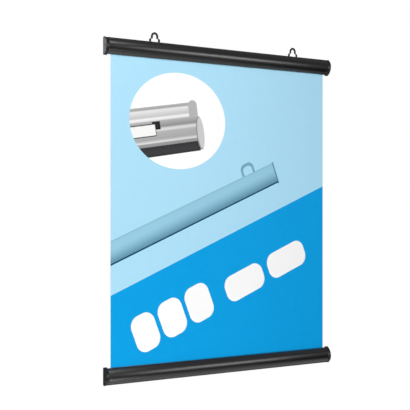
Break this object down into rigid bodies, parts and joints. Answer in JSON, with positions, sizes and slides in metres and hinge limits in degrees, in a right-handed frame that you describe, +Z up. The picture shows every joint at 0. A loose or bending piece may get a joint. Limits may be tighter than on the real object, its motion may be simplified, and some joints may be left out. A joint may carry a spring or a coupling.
{
  "type": "hanging banner holder",
  "caption": "Printed banner sheet clamped between snap-open black rails, with end caps and hanging eyes that slide along the back of the upper rail.",
  "frame": {"origin": "on the wall plane, in line with the centres of the two hanging eyes, at the middle of the rails' length", "axes": "+X along the rails to the viewer's right, +Y into the wall, +Z up; the printed side faces -Y"},
  "size_m": [0.907, 0.023, 1.0981],
  "materials": {
    "black_aluminium": "black anodised, satin",
    "cap_plastic": "moulded black, fine satin",
    "hanger_plastic": "moulded black, satin",
    "grip_rubber": "matt",
    "spring_steel": "bright rolled",
    "printed_sheet": "printed film, satin"
  },
  "bodies": {
    "top_rail": {"top_back_profile": "black_aluminium", "top_back_grip_strip": "grip_rubber", "top_back_cap_left": "cap_plastic", "top_back_cap_right": "cap_plastic", "top_leaf_springs": "spring_steel", "top_sheet_edge": "printed_sheet"},
    "top_cover": {"top_front_profile": "black_aluminium", "top_front_grip_strip": "grip_rubber", "top_front_cap_left": "cap_plastic", "top_front_cap_right": "cap_plastic"},
    "hanger_left": {"hanger_left": "hanger_plastic"},
    "hanger_right": {"hanger_right": "hanger_plastic"},
    "sheet": {"printed_sheet": "printed_sheet"},
    "bottom_rail": {"bottom_back_profile": "black_aluminium", "bottom_back_grip_strip": "grip_rubber", "bottom_back_cap_left": "cap_plastic", "bottom_back_cap_right": "cap_plastic", "bottom_leaf_springs": "spring_steel", "bottom_sheet_edge": "printed_sheet"},
    "bottom_cover": {"bottom_front_profile": "black_aluminium", "bottom_front_grip_strip": "grip_rubber", "bottom_front_cap_left": "cap_plastic", "bottom_front_cap_right": "cap_plastic"}
  },
  "joints": [
    {"name": "top_cover_hinge", "type": "hinge", "parent": "top_rail", "child": "top_cover", "pos_m": [0, -0.00808, -0.02238], "axis": [-1, 0, 0], "range_deg": [0, 75], "deforming": ["top_leaf_springs"]},
    {"name": "hanger_left_slide", "type": "slide", "parent": "top_rail", "child": "hanger_left", "axis": [1, 0, 0], "range_m": [-0.14, 0.246]},
    {"name": "hanger_right_slide", "type": "slide", "parent": "top_rail", "child": "hanger_right", "axis": [1, 0, 0], "range_m": [-0.274, 0.112]},
    {"name": "sheet_swing", "type": "hinge", "parent": "top_rail", "child": "sheet", "pos_m": [0, -0.00505, -0.0698], "axis": [-1, 0, 0], "range_deg": [-25, 25]},
    {"name": "bottom_rail_tilt", "type": "hinge", "parent": "sheet", "child": "bottom_rail", "pos_m": [0, -0.00505, -1.0318], "axis": [-1, 0, 0], "range_deg": [-30, 30], "stiffness_Nm_per_rad": 0.5},
    {"name": "bottom_cover_hinge", "type": "hinge", "parent": "bottom_rail", "child": "bottom_cover", "pos_m": [0, -0.00808, -1.07922], "axis": [1, 0, 0], "range_deg": [0, 75], "deforming": ["bottom_leaf_springs"]}
  ]
}
